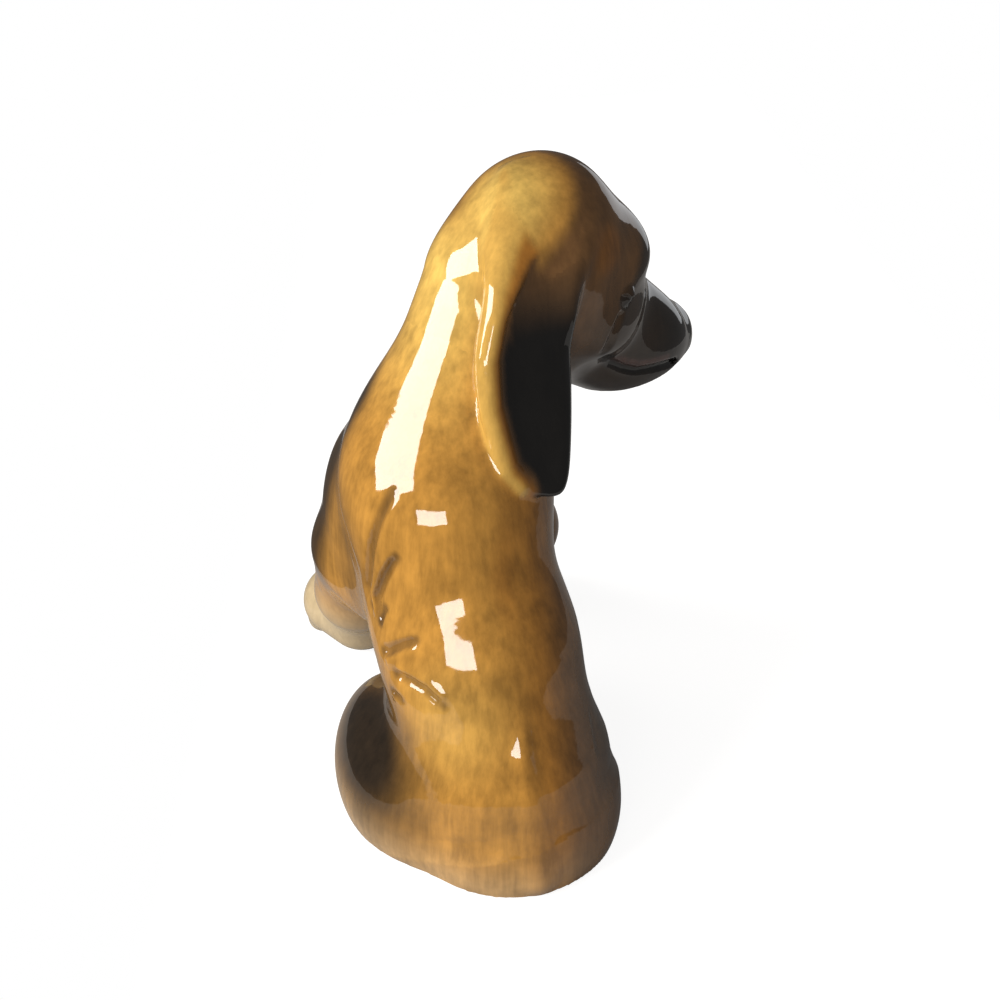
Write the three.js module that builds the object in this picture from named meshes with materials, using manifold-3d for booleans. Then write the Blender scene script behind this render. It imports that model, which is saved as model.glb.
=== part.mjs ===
// A glazed porcelain hound that sits upright, its head turned to its right and bowed.
// Its castings were luted together with slip before firing: a hollow body, a hollow head,
// two ears, two forelegs and two hind feet. Nothing on it moves.
// Millimetres. +Z is up, +Y is the way the chest faces and +X is the dog's right.

import * as THREE from "three";
import { mergeVertices } from "three/addons/utils/BufferGeometryUtils.js";
import Module from "manifold-3d";

// Casting
const wall = 3.5; // fired wall round the hollow of the body and head
const baseThickness = 4; // base of the body, under its hollow
const lutingGap = 0.3; // clearance at each luted joint
const sliver = 0.02; // facets narrower than this are closed up after a cut

// Hole in the base that drained the mould and let the kiln's gases out
const vent = { x: -3.4, y: -16.5, diameter: 14, length: 24, sides: 24 };

// Length of one facet of each faceted skin
const trunkFacet = 3.4;
const hollowFacet = 5;
const legFacet = 2.3;
const earFacet = 1.7;

// Trunk: the seat, the loin, the neck and the throat taper from their foot to their top
const seatFoot = { x: -2.4, y: -15.6, z: 5, diameter: 43 };
const seatTop = { x: -4.2, y: -14, z: 20, diameter: 39 };
const loinFoot = { x: -5.4, y: -13, z: 26, diameter: 38.4 };
const loinTop = { x: -8.2, y: -2.6, z: 56, diameter: 32.6 };
const neckFoot = { x: -8.6, y: 10, z: 69.2, diameter: 31 };
const neckTop = { x: -0.8, y: 15, z: 102, diameter: 20.6 };
const throatFoot = { x: -6, y: 19, z: 68, diameter: 30 };
const throatTop = { x: 8, y: 24, z: 97, diameter: 23 };

// The other masses of the trunk: middle, full width, depth and height, forward lean in degrees,
// and how softly each one runs into the trunk
const ribs = { x: -10.8, y: 11, z: 56, width: 31, depth: 36, height: 54, lean: 26, softness: 12 };
const leftHaunch = { x: -21, y: -3.6, z: 5.8, width: 27.6, depth: 43.8, height: 36, lean: 15, softness: 7 };
const rightHaunch = { x: 5, y: -9.4, z: 7, width: 21.4, depth: 43, height: 36, lean: 15, softness: 6 };
const leftShoulder = { x: -22.9, y: 19, z: 49, width: 17.6, depth: 26, height: 40, lean: 14, softness: 6 };
const rightShoulder = { x: -0.4, y: 19.3, z: 44.7, width: 18, depth: 26, height: 40, lean: 14, softness: 6 };

// Head: the skull's middle, with its turn to the dog's right and its bow in degrees
const headPlace = { x: 10.3, y: 20.1, z: 103.4, turn: 56, bow: 29 };

// Masses of the head, forward and up of the skull's middle and out from its middle plane
const skull = { forward: -2.4, out: 0, up: 1.2, length: 30.8, width: 30.4, height: 34.9 };
const brow = { forward: 12.5, out: 0, up: 4.4, length: 20.4, width: 25, height: 17.8 };
const cheeks = { forward: 11.3, out: 0, up: -8.3, length: 29, width: 26.8, height: 19.6 };
const flew = { forward: 33, out: 4.7, up: -12, length: 25, width: 10.4, height: 16.5 };
const muzzleRoot = { forward: 19.6, out: 0, up: -5.8, diameter: 20.2 };
const noseTip = { forward: 47, out: 0, up: -10.6, diameter: 13.4 };
const jawRoot = { forward: 11.4, out: 0, up: -15, diameter: 12.4 };
const chin = { forward: 47, out: 0, up: -19.6, diameter: 12 };

// Neck joint: a point on its plane, and the plane's tilt towards the face in degrees
const neckJoint = { x: -1.5, y: 15, z: 86.6, tilt: 42 };

// Ears: each one is a leaf that hangs from the skull and lies back along the neck. It starts from
// a place forward of the skull's middle and out from its middle plane, and is turned back about
// the vertical. The tilt moves its face in for each millimetre up, and the drop lowers it.
const rightEarPlace = { forward: -9, out: 17.5, backTurn: 24, tilt: 0.3, drop: 0 };
const leftEarPlace = { forward: 11, out: 21, backTurn: -6, tilt: 0.12, drop: 8 };
const earLeaf = { level: 101.4, thickness: 4.4, edge: 2.1, hollow: 1.4, hollowFrom: 1, hollowTo: 6 };
const earLean = { from: 104, over: 14, inward: 3, limit: 1.4 }; // its top bends in over the skull

// Outline of the leaf, from the back of its top round by the tip: along towards its front, and height
const earOutline = [
  [-9, 113.2], [-12.4, 111.2], [-14.8, 107.6], [-18.2, 97.9], [-18.7, 89.5],
  [-16.8, 77.5], [-14.2, 74.2], [-8.4, 71.6], [-5.2, 72.8], [-3.2, 80],
  [-0.8, 92.4], [0.6, 104.8], [-0.4, 109.6], [-4, 112.8],
];
const earCurveSteps = 4; // straight stretches between two points of the outline

// Forelegs, out from the middle of the chest
const chestMiddle = -9;
const elbow = { out: 15.5, y: 23.5, z: 41, diameter: 18.6 };
const forearm = { out: 15.5, y: 32, z: 23, diameter: 16.6 };
const wrist = { out: 14, y: 40.5, z: 10.5, diameter: 14.4 };
const pawHeel = { out: 14, y: 42, z: 7, diameter: 14.6 };
const pawBall = { out: 18, y: 46.8, z: 8.2, diameter: 16 };

// Hind feet, out from the middle of the belly
const bellyMiddle = -8;
const hindHeel = { out: 11, y: 2, z: 6, diameter: 16 };
const hindBall = { out: 8, y: 15, z: 5, diameter: 12 };

// Toes: they fan out in front of the ball of each foot, over the given angle in degrees
const toe = { count: 4, fan: 90, start: 3, end: 4.2, diameter: 6, z: 3.4 };

// How softly neighbouring masses run into each other
const seatBlend = 6;
const backBlend = 14;
const throatBlend = 8;
const browBlend = 8;
const headBlend = 8;
const faceBlend = 5;
const legBlend = 3;
const pawBlend = 5;
const toeBlend = 2;

const wasm = await Module();
wasm.setup();

const side = { right: 1, left: -1 };

// A shape is a distance function, negative inside, with a box that it lies in.
function ellipsoidShape(centre, radii, axes) {
  const distance = (p) => {
    const local = axes.map((axis) => axis.dot(p) - axis.dot(centre));
    const scaled = Math.hypot(...local.map((v, i) => v / radii[i]));
    const steepness = Math.hypot(...local.map((v, i) => v / (radii[i] * radii[i])));
    return (scaled * (scaled - 1)) / Math.max(steepness, 1e-9);
  };
  const reach = Math.max(...radii) * 2;
  const box = new THREE.Box3().setFromCenterAndSize(centre, new THREE.Vector3(reach, reach, reach));
  return { distance, box };
}

// A limb that tapers from one round end to the other.
function taperShape(from, to, fromDiameter, toDiameter) {
  const along = to.clone().sub(from);
  const distance = (p) => {
    const offset = p.clone().sub(from);
    const t = THREE.MathUtils.clamp(offset.dot(along) / along.lengthSq(), 0, 1);
    const radius = THREE.MathUtils.lerp(fromDiameter, toDiameter, t) / 2;
    return offset.addScaledVector(along, -t).length() - radius;
  };
  const box = new THREE.Box3().setFromPoints([from, to]);
  return { distance, box: box.expandByScalar(Math.max(fromDiameter, toDiameter) / 2) };
}

// Two shapes run together over the given distance.
function blend(a, b, softness) {
  const distance = (p) => {
    const da = a.distance(p);
    const db = b.distance(p);
    const share = Math.max(softness - Math.abs(da - db), 0) / softness;
    return Math.min(da, db) - (share * share * softness) / 4;
  };
  return { distance, box: a.box.clone().union(b.box).expandByScalar(softness / 4) };
}

// A shape with its surface moved out, or in where the amount is negative.
function grown(shape, amount) {
  return {
    distance: (p) => shape.distance(p) - amount,
    box: shape.box.clone().expandByScalar(Math.max(amount, 0)),
  };
}

// The closed skin of a shape by surface nets: one vertex in each cell that the surface crosses,
// pulled on to the surface, and one quad across each grid edge that the surface crosses.
function skin(shape, facet) {
  const start = shape.box.min.clone().addScalar(-1.5 * facet);
  const size = shape.box.getSize(new THREE.Vector3());
  const count = size.toArray().map((length) => Math.ceil(length / facet) + 4);
  const stride = [1, count[0], count[0] * count[1]];
  const total = count[0] * count[1] * count[2];
  const placeOf = (n) => [n % count[0], Math.floor(n / stride[1]) % count[1], Math.floor(n / stride[2])];
  const pointOf = (cell) => new THREE.Vector3(...cell).multiplyScalar(facet).add(start);

  const values = new Float64Array(total);
  for (let n = 0; n < total; n++) values[n] = shape.distance(pointOf(placeOf(n)));
  fillCrevices(values, count, stride, facet);

  const corners = [0, 1, 2, 3, 4, 5, 6, 7].map((n) => [n & 1, (n >> 1) & 1, n >> 2]);
  const stepTo = (corner) => corner[0] * stride[0] + corner[1] * stride[1] + corner[2] * stride[2];
  const edges = corners.flatMap((a) =>
    [0, 1, 2].filter((axis) => a[axis] === 0).map((axis) => {
      const b = a.map((v, i) => (i === axis ? 1 : v));
      return [a, b];
    }),
  );

  const vertexOf = new Int32Array(total).fill(-1);
  const positions = [];
  for (let n = 0; n < total; n++) {
    const cell = placeOf(n);
    if (cell.some((v, i) => v > count[i] - 2)) continue;
    const mean = new THREE.Vector3();
    let crossed = 0;
    for (const [a, b] of edges) {
      const va = values[n + stepTo(a)];
      const vb = values[n + stepTo(b)];
      if (va < 0 === vb < 0) continue;
      const t = va / (va - vb);
      mean.add(new THREE.Vector3(...a.map((v, i) => v + t * (b[i] - v))));
      crossed++;
    }
    if (!crossed) continue;
    const vertex = pointOf(cell).addScaledVector(mean, facet / crossed);
    vertexOf[n] = positions.length / 3;
    positions.push(...pulledOn(shape, vertex, facet).toArray());
  }

  const indices = [];
  for (let n = 0; n < total; n++) {
    for (let axis = 0; axis < 3; axis++) {
      const u = stride[(axis + 1) % 3];
      const v = stride[(axis + 2) % 3];
      const cell = placeOf(n);
      if (cell[(axis + 1) % 3] < 1 || cell[(axis + 2) % 3] < 1 || cell[axis] > count[axis] - 2) continue;
      const inside = values[n] < 0;
      if (inside === values[n + stride[axis]] < 0) continue;
      const quad = [n - u - v, n - v, n, n - u].map((c) => vertexOf[c]);
      const [a, b, c, d] = inside ? quad : quad.reverse();
      indices.push(a, b, c, a, c, d);
    }
  }
  const geometry = new THREE.BufferGeometry();
  geometry.setAttribute("position", new THREE.Float32BufferAttribute(positions, 3));
  geometry.setIndex(indices);
  return geometry;
}

// Where the surface crosses a grid square twice, a crevice is finer than a facet and four faces
// would meet on one edge, so the nearer of the two corners that lie outside is taken inside.
function fillCrevices(values, count, stride, facet) {
  const total = count[0] * count[1] * count[2];
  const isCrossedTwice = (a, b, c, d) =>
    values[a] < 0 === values[c] < 0 && values[b] < 0 === values[d] < 0 && values[a] < 0 !== values[b] < 0;
  let filled = true;
  while (filled) {
    filled = false;
    for (const [i, j] of [[0, 1], [1, 2], [2, 0]]) {
      const [u, v] = [stride[i], stride[j]];
      for (let n = 0; n + u + v < total; n++) {
        if (!isCrossedTwice(n, n + u, n + u + v, n + v)) continue;
        const outside = values[n] < 0 ? [n + u, n + v] : [n, n + u + v];
        outside.sort((a, b) => values[a] - values[b]);
        values[outside[0]] = -facet / 100;
        filled = true;
      }
    }
  }
}

// A point moved to the shape's surface, by no more than half a facet.
function pulledOn(shape, point, facet) {
  const probe = facet / 50;
  const at = (dx, dy, dz) => shape.distance(point.clone().add(new THREE.Vector3(dx, dy, dz)));
  const value = at(0, 0, 0);
  const slope = new THREE.Vector3(at(probe, 0, 0), at(0, probe, 0), at(0, 0, probe));
  slope.subScalar(value).divideScalar(probe);
  const move = slope.multiplyScalar(-value / Math.max(slope.lengthSq(), 1e-6));
  return point.clone().add(move.clampLength(0, facet / 2));
}

// A closed three.js geometry as a solid that can be joined and cut.
function solidOf(geometry) {
  const bare = geometry.clone();
  bare.deleteAttribute("normal");
  bare.deleteAttribute("uv");
  const merged = mergeVertices(bare, 1e-4);
  const vertProperties = new Float32Array(merged.attributes.position.array);
  const triVerts = new Uint32Array(merged.index.array);
  return new wasm.Manifold(new wasm.Mesh({ numProp: 3, vertProperties, triVerts }));
}

function geometryOf(solid) {
  const { vertProperties, triVerts } = solid.getMesh();
  const geometry = new THREE.BufferGeometry();
  geometry.setAttribute("position", new THREE.BufferAttribute(vertProperties, 3));
  geometry.setIndex(new THREE.BufferAttribute(triVerts, 1));
  geometry.computeVertexNormals();
  return geometry;
}

// The main body of a trimmed casting, without the scraps and slivers that trimming can leave.
function mainBody(solid) {
  const largest = solid.decompose().reduce((a, b) => (a.volume() > b.volume() ? a : b));
  return largest.simplify(sliver);
}

// Trunk and head masses

const upright = new THREE.Vector3(0, 0, 1);

function trunkMass({ x, y, z, width, depth, height, lean }) {
  const turn = new THREE.Matrix4().makeRotationX(-THREE.MathUtils.degToRad(lean));
  const axes = [0, 1, 2].map((i) => new THREE.Vector3().setFromMatrixColumn(turn, i));
  return ellipsoidShape(new THREE.Vector3(x, y, z), [width / 2, depth / 2, height / 2], axes);
}

function legPiece(from, to, at) {
  return taperShape(at(from), at(to), from.diameter, to.diameter);
}

const turn = THREE.MathUtils.degToRad(headPlace.turn);
const bow = THREE.MathUtils.degToRad(headPlace.bow);
const heading = new THREE.Vector3(Math.sin(turn), Math.cos(turn), 0);
const rightward = new THREE.Vector3().crossVectors(heading, upright);
const facing = heading.clone().multiplyScalar(Math.cos(bow)).addScaledVector(upright, -Math.sin(bow));
const crown = new THREE.Vector3().crossVectors(rightward, facing);
const skullMiddle = new THREE.Vector3(headPlace.x, headPlace.y, headPlace.z);

function inHead({ forward, out, up }) {
  const place = skullMiddle.clone().addScaledVector(facing, forward);
  return place.addScaledVector(rightward, out).addScaledVector(crown, up);
}

function headMass(mass) {
  const radii = [mass.length / 2, mass.width / 2, mass.height / 2];
  return ellipsoidShape(inHead(mass), radii, [facing, rightward, crown]);
}

const spot = ({ x, y, z }) => new THREE.Vector3(x, y, z);

let trunk = blend(legPiece(seatFoot, seatTop, spot), legPiece(loinFoot, loinTop, spot), seatBlend);
trunk = blend(trunk, trunkMass(ribs), ribs.softness);
trunk = blend(trunk, legPiece(neckFoot, neckTop, spot), backBlend);
trunk = blend(trunk, legPiece(throatFoot, throatTop, spot), throatBlend);
for (const mass of [leftHaunch, rightHaunch, leftShoulder, rightShoulder]) {
  trunk = blend(trunk, trunkMass(mass), mass.softness);
}

let face = blend(headMass(skull), headMass(brow), browBlend);
face = blend(face, headMass(cheeks), headBlend);
face = blend(face, legPiece(muzzleRoot, noseTip, inHead), faceBlend);
face = blend(face, legPiece(jawRoot, chin, inHead), faceBlend);
for (const direction of [side.right, side.left]) {
  face = blend(face, headMass({ ...flew, out: direction * flew.out }), faceBlend);
}
const figure = blend(trunk, face, headBlend);

// Cutters, each as large as the whole figure

const reach = figure.box.getSize(new THREE.Vector3()).length() * 2;

// Everything on the far side of a plane, seen along its normal.
function beyond(point, normal) {
  const block = new THREE.BoxGeometry(reach, reach, reach);
  block.translate(0, 0, reach / 2);
  block.applyQuaternion(new THREE.Quaternion().setFromUnitVectors(upright, normal));
  block.translate(point.x, point.y, point.z);
  return solidOf(block);
}

const downward = upright.clone().negate();
const underFloor = beyond(new THREE.Vector3(), downward);

const tilt = THREE.MathUtils.degToRad(neckJoint.tilt);
const neckAxis = upright.clone().multiplyScalar(Math.cos(tilt)).addScaledVector(heading, Math.sin(tilt));
const neckMiddle = spot(neckJoint);
const aboveNeck = beyond(neckMiddle.clone().addScaledVector(neckAxis, -lutingGap / 2), neckAxis);
const belowNeck = beyond(
  neckMiddle.clone().addScaledVector(neckAxis, lutingGap / 2),
  neckAxis.clone().negate(),
);

// Body and head: one skin over both, cut apart at the neck, and one hollow inside

const outerSkin = solidOf(skin(figure, trunkFacet));
const fittedSkin = solidOf(skin(grown(figure, lutingGap), trunkFacet));
const baseTop = new THREE.Vector3(0, 0, baseThickness);
const hollow = solidOf(skin(grown(figure, -wall), hollowFacet)).subtract(beyond(baseTop, downward));

const ventBore = new THREE.CylinderGeometry(vent.diameter / 2, vent.diameter / 2, vent.length, vent.sides);
ventBore.rotateX(Math.PI / 2);
ventBore.translate(vent.x, vent.y, 0);

const bodyCasting = mainBody(
  outerSkin.subtract(aboveNeck).subtract(underFloor).subtract(hollow).subtract(solidOf(ventBore)),
);
const headCasting = mainBody(outerSkin.subtract(belowNeck).subtract(hollow));

// Limbs and ears, each trimmed to sit on the finished body and head

function luted(shape, facet) {
  return mainBody(solidOf(skin(shape, facet)).subtract(fittedSkin).subtract(underFloor));
}

// A foot from its heel to its ball, with its toes.
function footShape(heel, ball, at) {
  const ahead = at(ball).sub(at(heel));
  const middleAngle = Math.atan2(ahead.y, ahead.x);
  let foot = legPiece(heel, ball, at);
  for (let n = 0; n < toe.count; n++) {
    const share = n / (toe.count - 1) - 0.5;
    const angle = middleAngle + share * THREE.MathUtils.degToRad(toe.fan);
    const pointing = new THREE.Vector3(Math.cos(angle), Math.sin(angle), 0);
    const root = at(ball).setZ(toe.z).addScaledVector(pointing, toe.start);
    const tip = at(ball).setZ(toe.z).addScaledVector(pointing, toe.end);
    foot = blend(foot, taperShape(root, tip, toe.diameter, toe.diameter), toeBlend);
  }
  return foot;
}

function forelegShape(direction) {
  const at = ({ out, y, z }) => new THREE.Vector3(chestMiddle + direction * out, y, z);
  const leg = blend(legPiece(elbow, forearm, at), legPiece(forearm, wrist, at), legBlend);
  return blend(leg, footShape(pawHeel, pawBall, at), pawBlend);
}

function hindFootShape(direction) {
  const at = ({ out, y, z }) => new THREE.Vector3(bellyMiddle + direction * out, y, z);
  return footShape(hindHeel, hindBall, at);
}

const earPoints = earOutline.map(([along, height]) => new THREE.Vector3(along, height, 0));
const earCurve = new THREE.CatmullRomCurve3(earPoints, true, "catmullrom", 0.5);
const earEdge = earCurve.getPoints(earOutline.length * earCurveSteps).slice(1);

// Gap from a point to the outline of the leaf, negative inside it.
function leafGap(along, height) {
  let gap = Infinity;
  let inside = false;
  earEdge.forEach((end, n) => {
    const start = earEdge.at(n - 1);
    const [dx, dy] = [end.x - start.x, end.y - start.y];
    const share = ((along - start.x) * dx + (height - start.y) * dy) / (dx * dx + dy * dy);
    const t = THREE.MathUtils.clamp(share, 0, 1);
    gap = Math.min(gap, Math.hypot(along - start.x - t * dx, height - start.y - t * dy));
    const crosses = start.y > height !== end.y > height;
    if (crosses && along < start.x + ((height - start.y) * dx) / dy) inside = !inside;
  });
  return inside ? -gap : gap;
}

// How far the outer face of the leaf lies in from the plane that it starts from.
function leafInset(place, height) {
  const over = THREE.MathUtils.clamp((height - earLean.from) / earLean.over, 0, earLean.limit);
  return place.tilt * (height - earLeaf.level) + earLean.inward * over * over;
}

function earShape(direction, place) {
  const outward = rightward.clone().multiplyScalar(direction);
  const backTurn = direction * -THREE.MathUtils.degToRad(place.backTurn);
  const along = heading.clone().applyAxisAngle(upright, backTurn);
  const off = outward.clone().applyAxisAngle(upright, backTurn);
  const root = skullMiddle.clone().setZ(-place.drop);
  root.addScaledVector(heading, place.forward).addScaledVector(outward, place.out);

  const half = earLeaf.thickness / 2;
  const distance = (p) => {
    const q = p.clone().sub(root);
    const gap = leafGap(q.dot(along), q.z);
    const hollow = earLeaf.hollow * THREE.MathUtils.smoothstep(-gap, earLeaf.hollowFrom, earLeaf.hollowTo);
    const face = q.dot(off) + leafInset(place, q.z) + hollow;
    const a = gap + earLeaf.edge;
    const b = Math.abs(face + half) - half + earLeaf.edge;
    return Math.hypot(Math.max(a, 0), Math.max(b, 0)) + Math.min(Math.max(a, b), 0) - earLeaf.edge;
  };
  const rim = earEdge.map(({ x, y }) =>
    root.clone().addScaledVector(along, x).addScaledVector(off, -leafInset(place, y)).addScaledVector(upright, y),
  );
  const box = new THREE.Box3().setFromPoints(rim).expandByScalar(earLeaf.thickness + earLeaf.hollow);
  return { distance, box };
}

const rightEar = luted(earShape(side.right, rightEarPlace), earFacet);
const leftEar = luted(earShape(side.left, leftEarPlace), earFacet);
const rightForeleg = luted(forelegShape(side.right), legFacet);
const leftForeleg = luted(forelegShape(side.left), legFacet);
const forelegRoom = [side.right, side.left].map((direction) =>
  solidOf(skin(grown(forelegShape(direction), lutingGap), legFacet)),
);

// A hind foot also keeps clear of the foreleg in front of it.
function hindFoot(direction) {
  const foot = luted(hindFootShape(direction), legFacet);
  return mainBody(foot.subtract(forelegRoom[0]).subtract(forelegRoom[1]));
}

// Glazes

const tanGlaze = new THREE.MeshStandardMaterial({ color: 0xa8732c, roughness: 0.12, metalness: 0 });
const brownGlaze = new THREE.MeshStandardMaterial({ color: 0x5f3d1d, roughness: 0.12, metalness: 0 });
const darkGlaze = new THREE.MeshStandardMaterial({ color: 0x2b1d12, roughness: 0.1, metalness: 0 });
const paleGlaze = new THREE.MeshStandardMaterial({ color: 0xb89a6c, roughness: 0.15, metalness: 0 });

const castings = [
  ["body_casting", bodyCasting, tanGlaze],
  ["head_casting", headCasting, brownGlaze],
  ["right_ear", rightEar, darkGlaze],
  ["left_ear", leftEar, darkGlaze],
  ["right_foreleg", rightForeleg, paleGlaze],
  ["left_foreleg", leftForeleg, paleGlaze],
  ["right_hind_foot", hindFoot(side.right), paleGlaze],
  ["left_hind_foot", hindFoot(side.left), paleGlaze],
];

// The figurine stands with the middle of its outline over the origin.
const figurine = new THREE.Group();
for (const [name, solid, material] of castings) {
  const mesh = new THREE.Mesh(geometryOf(solid), material);
  mesh.name = name;
  figurine.add(mesh);
}
const middle = new THREE.Box3().setFromObject(figurine).getCenter(new THREE.Vector3());
figurine.position.set(-middle.x, -middle.y, 0);

const part = new THREE.Group();
part.add(figurine);

export default part;
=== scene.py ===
import math

import bpy
import numpy as np
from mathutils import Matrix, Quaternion, Vector


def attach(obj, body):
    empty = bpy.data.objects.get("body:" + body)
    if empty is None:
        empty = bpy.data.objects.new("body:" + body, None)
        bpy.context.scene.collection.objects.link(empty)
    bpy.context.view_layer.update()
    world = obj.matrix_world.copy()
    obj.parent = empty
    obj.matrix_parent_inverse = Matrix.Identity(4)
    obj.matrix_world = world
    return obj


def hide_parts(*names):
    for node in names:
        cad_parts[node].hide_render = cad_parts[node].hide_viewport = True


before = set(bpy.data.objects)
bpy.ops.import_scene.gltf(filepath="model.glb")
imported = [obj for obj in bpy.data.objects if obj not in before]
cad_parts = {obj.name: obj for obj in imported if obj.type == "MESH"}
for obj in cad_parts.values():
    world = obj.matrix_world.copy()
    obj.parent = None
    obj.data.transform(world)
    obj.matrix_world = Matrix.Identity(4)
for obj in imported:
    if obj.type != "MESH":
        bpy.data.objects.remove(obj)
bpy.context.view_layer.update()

# Lengths are millimetres in the sculptor's frame: floor at z 0, +Y the way the chest faces and
# +X the dog's right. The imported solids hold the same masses, moved by figureShift.
figureShift = np.array([-5.887, -8.896, 0.0])
millimetre = 0.001
skinCell = 0.6     # side of one sculpting cell
blockCells = 8     # cells along one block of the search for the surface
blocksAtOnce = 400
far = 60.0         # stands for "nowhere near" in a distance


# Distance shapes, negative inside

def softMin(a, b, k):
    h = np.maximum(k - np.abs(a - b), 0) / k
    return np.minimum(a, b) - h * h * k / 4


def softMax(a, b, k):
    return -softMin(-a, -b, k)


def leaning(degrees):
    a = -math.radians(degrees)
    return np.array([[1, 0, 0], [0, math.cos(a), math.sin(a)], [0, -math.sin(a), math.cos(a)]])


def ellipsoid(p, middle, size, axes=None):
    q = p - np.asarray(middle, float)
    if axes is not None:
        q = q @ np.asarray(axes, float).T
    r = np.asarray(size, float) / 2
    scaled = np.linalg.norm(q / r, axis=1)
    steepness = np.linalg.norm(q / (r * r), axis=1)
    return scaled * (scaled - 1) / np.maximum(steepness, 1e-9)


def taper(p, start, end, startDiameter, endDiameter):
    start = np.asarray(start, float)
    along = np.asarray(end, float) - start
    t = np.clip((p - start) @ along / (along @ along), 0, 1)
    gap = np.linalg.norm(p - start - t[:, None] * along, axis=1)
    return gap - (startDiameter + t * (endDiameter - startDiameter)) / 2


def toLine(p, points):
    # gap to a bent line, and how far along it the nearest spot lies, 0 to 1
    points = np.asarray(points, float)
    steps = np.linalg.norm(np.diff(points, axis=0), axis=1)
    total = steps.sum()
    best = np.full(len(p), far)
    share = np.zeros(len(p))
    done = 0.0
    for a, b, step in zip(points[:-1], points[1:], steps):
        t = np.clip((p - a) @ (b - a) / (step * step), 0, 1)
        gap = np.linalg.norm(p - a - t[:, None] * (b - a), axis=1)
        closer = gap < best
        best[closer] = gap[closer]
        share[closer] = (done + t[closer] * step) / total
        done += step
    return best, share


def smoothStep(value, low, high):
    t = np.clip((value - low) / (high - low), 0, 1)
    return t * t * (3 - 2 * t)


def onlyNear(p, low, high, shape):
    # works a shape out only for the points in its neighbourhood
    chosen = np.all((p > np.asarray(low)) & (p < np.asarray(high)), axis=1)
    d = np.full(len(p), far)
    if chosen.any():
        d[chosen] = shape(p[chosen])
    return d


# Trunk

trunk = dict(
    seat=dict(foot=(-2.4, -15.6, 5), top=(-3.6, -14, 10), footDiameter=43, topDiameter=38),
    croup=dict(foot=(-4.4, -14.8, 18), top=(-6.8, -8.2, 40), footDiameter=40.4, topDiameter=34.4),
    loin=dict(foot=(-6.8, -8.2, 40), top=(-10, 0.6, 64), footDiameter=34.4, topDiameter=30.4),
    ribs=dict(middle=(-10.8, 11, 56), size=(31, 36, 54), lean=26),
    neck=dict(foot=(-9.1, 7.7, 71), top=(0.1, 17.5, 101.4), footDiameter=31.6, topDiameter=22.2),
    throat=dict(foot=(-6, 19, 68), top=(8, 24, 97), footDiameter=30, topDiameter=23),
    limbs=[
        dict(middle=(-21, -3.6, 5.8), size=(27.6, 43.8, 36), lean=15, blend=7),         # left haunch
        dict(middle=(5, -9.4, 7), size=(21.4, 43, 36), lean=15, blend=6),             # right haunch
        dict(middle=(-22.9, 19, 49), size=(17.6, 26, 40), lean=14, blend=6),         # left shoulder
        dict(middle=(-0.4, 19.3, 44.7), size=(18, 26, 40), lean=14, blend=6),         # right shoulder
    ],
    seatBlend=6, croupBlend=6, backBlend=14, ribBlend=12, throatBlend=8,
    tail=dict(line=[(-3.2, -25.6, 39.5), (-3.4, -30, 31), (-2.6, -32.4, 22), (-1, -34, 4)],
              startDiameter=2, endDiameter=8, blend=1.6),
    vent=dict(middle=(-3.4, -16.5), diameter=14, depth=16, blend=1),
)

# Folds pressed into the clay: the line on the skin, depth and half width at its two ends.
# A ridge stands up beside the fold, on the side that the offset points to.
folds = [
    dict(line=[(-21.4, -7.3, 76.4), (-24, -7.5, 70.6), (-25.7, -6.2, 63.2), (-26.4, -4.1, 52.4),
               (-26.1, -5.9, 50.3)],
         depth=(0.4, 1.8), width=(0.8, 1.4), ridge=0.3, offset=(1.4, -1.3, 0)),      # behind the shoulder
    dict(line=[(-21.9, -10.9, 64.7), (-23.7, -9.5, 59.8), (-25.1, -7.8, 53.6), (-25.2, -9.4, 49)],
         depth=(0.9, 0.8), width=(0.8, 0.9), ridge=0.5, offset=(-1.2, 0.9, 0.4)),    # elbow
    dict(line=[(-24.1, -10.3, 52.9), (-25, -9.7, 49.3)],
         depth=(0.6, 0.5), width=(0.6, 0.6), ridge=0.3, offset=(0.5, -1.2, 0)),      # flank
    dict(line=[(-25.2, -11.6, 43.9), (-24.2, -13.6, 45.8), (-22.2, -15.8, 48.6), (-20, -17.6, 50.8)],
         depth=(1.3, 0.6), width=(1.0, 0.7), ridge=0.5, offset=(0.3, -0.8, -1.7)),   # waist
    dict(line=[(-23.8, -15.9, 41.9), (-21.6, -19.3, 42.9), (-19.3, -21.9, 42.6), (-16.6, -24.5, 40.6)],
         depth=(1.4, 0.7), width=(1.0, 0.9), ridge=0.4, offset=(0.3, -0.2, 1.8)),    # top of the haunch
    dict(line=[(-24.3, -15, 37.2), (-23, -18, 37.3)],
         depth=(0.6, 0.5), width=(0.6, 0.6), ridge=0.2, offset=(0, -0.3, -1.2)),     # short one under it
    dict(line=[(12.3, -20.8, 30.4), (12.6, -25.1, 24.1)],
         depth=(0.5, 0.4), width=(0.9, 0.9), ridge=0.2, offset=(-1.2, 0, 0.5)),      # right haunch
]


def trunkTaper(p, name):
    mass = trunk[name]
    return taper(p, mass["foot"], mass["top"], mass["footDiameter"], mass["topDiameter"])


def trunkField(p):
    d = trunkTaper(p, "seat")
    back = softMin(trunkTaper(p, "croup"), trunkTaper(p, "loin"), trunk["croupBlend"])
    d = softMin(d, back, trunk["seatBlend"])
    ribs = trunk["ribs"]
    d = softMin(d, ellipsoid(p, ribs["middle"], ribs["size"], leaning(ribs["lean"])), trunk["ribBlend"])
    d = softMin(d, trunkTaper(p, "neck"), trunk["backBlend"])
    d = softMin(d, trunkTaper(p, "throat"), trunk["throatBlend"])
    for mass in trunk["limbs"]:
        d = softMin(d, ellipsoid(p, mass["middle"], mass["size"], leaning(mass["lean"])), mass["blend"])
    return d


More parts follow.
